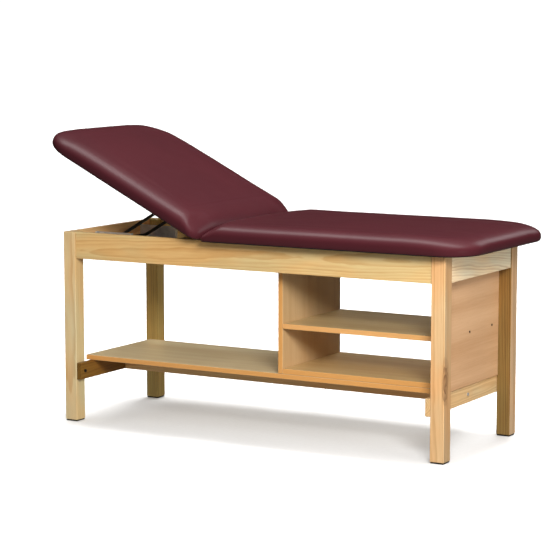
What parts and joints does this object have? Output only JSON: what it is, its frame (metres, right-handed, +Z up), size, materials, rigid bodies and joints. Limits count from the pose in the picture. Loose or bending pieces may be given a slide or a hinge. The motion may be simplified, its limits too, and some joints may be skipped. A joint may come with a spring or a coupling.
{
  "type": "treatment table",
  "caption": "Wooden treatment table with a padded top, a lift back held by a wire bail on racks, a full-length lower shelf and an open shelved cabinet.",
  "frame": {"origin": "centre of the whole table's outline on the floor, with the back raised as stored", "axes": "+X towards the foot end, +Y away from the side where the cabinet opens, +Z up"},
  "size_m": [1.758, 0.74, 1.1065],
  "materials": {
    "solid_wood": "satin clear lacquer on maple",
    "inner_wood": "plain hardwood",
    "laminate_board": "satin wood-grain laminate with orange-tan edge band",
    "deck_board": "black cloth-faced plywood",
    "vinyl": "satin burgundy upholstery vinyl over foam",
    "black_steel": "satin",
    "zinc_steel": "bright zinc plate",
    "black_plastic": "matte"
  },
  "bodies": {
    "table": {"leg_head_near": "solid_wood", "glide_head_near": "black_plastic", "rail_bolt_head_near": "black_steel", "rack_screw_near_head": "black_steel", "leg_head_far": "solid_wood", "glide_head_far": "black_plastic", "rail_bolt_head_far": "black_steel", "rack_screw_far_head": "black_steel", "end_apron_head": "solid_wood", "cross_rail_head": "solid_wood", "stretcher_bolt_head": "zinc_steel", "rack_rail_head": "inner_wood", "leg_foot_near": "solid_wood", "glide_foot_near": "black_plastic", "rail_bolt_foot_near": "black_steel", "rack_screw_near_foot": "black_steel", "leg_foot_far": "solid_wood", "glide_foot_far": "black_plastic", "rail_bolt_foot_far": "black_steel", "rack_screw_far_foot": "black_steel", "end_apron_foot": "solid_wood", "cross_rail_foot": "solid_wood", "stretcher_bolt_foot": "zinc_steel", "rack_rail_foot": "inner_wood", "side_apron_near": "solid_wood", "rack_bracket_near": "zinc_steel", "hinge_leaf_seat_near": "black_steel", "hinge_pin_near": "zinc_steel", "side_apron_far": "solid_wood", "rack_bracket_far": "zinc_steel", "hinge_leaf_seat_far": "black_steel", "hinge_pin_far": "zinc_steel", "centre_stretcher": "solid_wood", "hinge_rail": "inner_wood", "lower_shelf": "laminate_board", "cabinet_base": "laminate_board", "cabinet_divider": "laminate_board", "cabinet_shelf": "laminate_board", "cabinet_end_panel": "laminate_board", "panel_screw_near": "black_steel", "panel_screw_centre": "black_steel", "panel_screw_far": "black_steel", "seat_deck": "deck_board", "seat_cushion": "vinyl"},
    "back": {"back_cushion": "vinyl", "back_deck": "deck_board", "hinge_leaf_back_near": "black_steel", "hinge_leaf_back_far": "black_steel", "bail_bracket_near": "black_steel", "bail_bracket_far": "black_steel", "bail_screw_near_head": "zinc_steel", "bail_screw_near_foot": "zinc_steel", "bail_screw_far_head": "zinc_steel", "bail_screw_far_foot": "zinc_steel"},
    "bail": {"bail": "black_steel"}
  },
  "joints": [
    {"name": "back_hinge", "type": "hinge", "parent": "table", "child": "back", "pos_m": [-0.19599, 0, 0.7188], "axis": [0, 1, 0], "range_deg": [-26.4, 18.6]},
    {"name": "bail_pivot", "type": "hinge", "parent": "back", "child": "bail", "pos_m": [-0.45838, 0, 0.83119], "axis": [0, 1, 0], "range_deg": [-37.2, 52.8]}
  ],
  "couplings": [
    {"joint": "bail_pivot", "follows": "back_hinge", "ratio": -2}
  ]
}
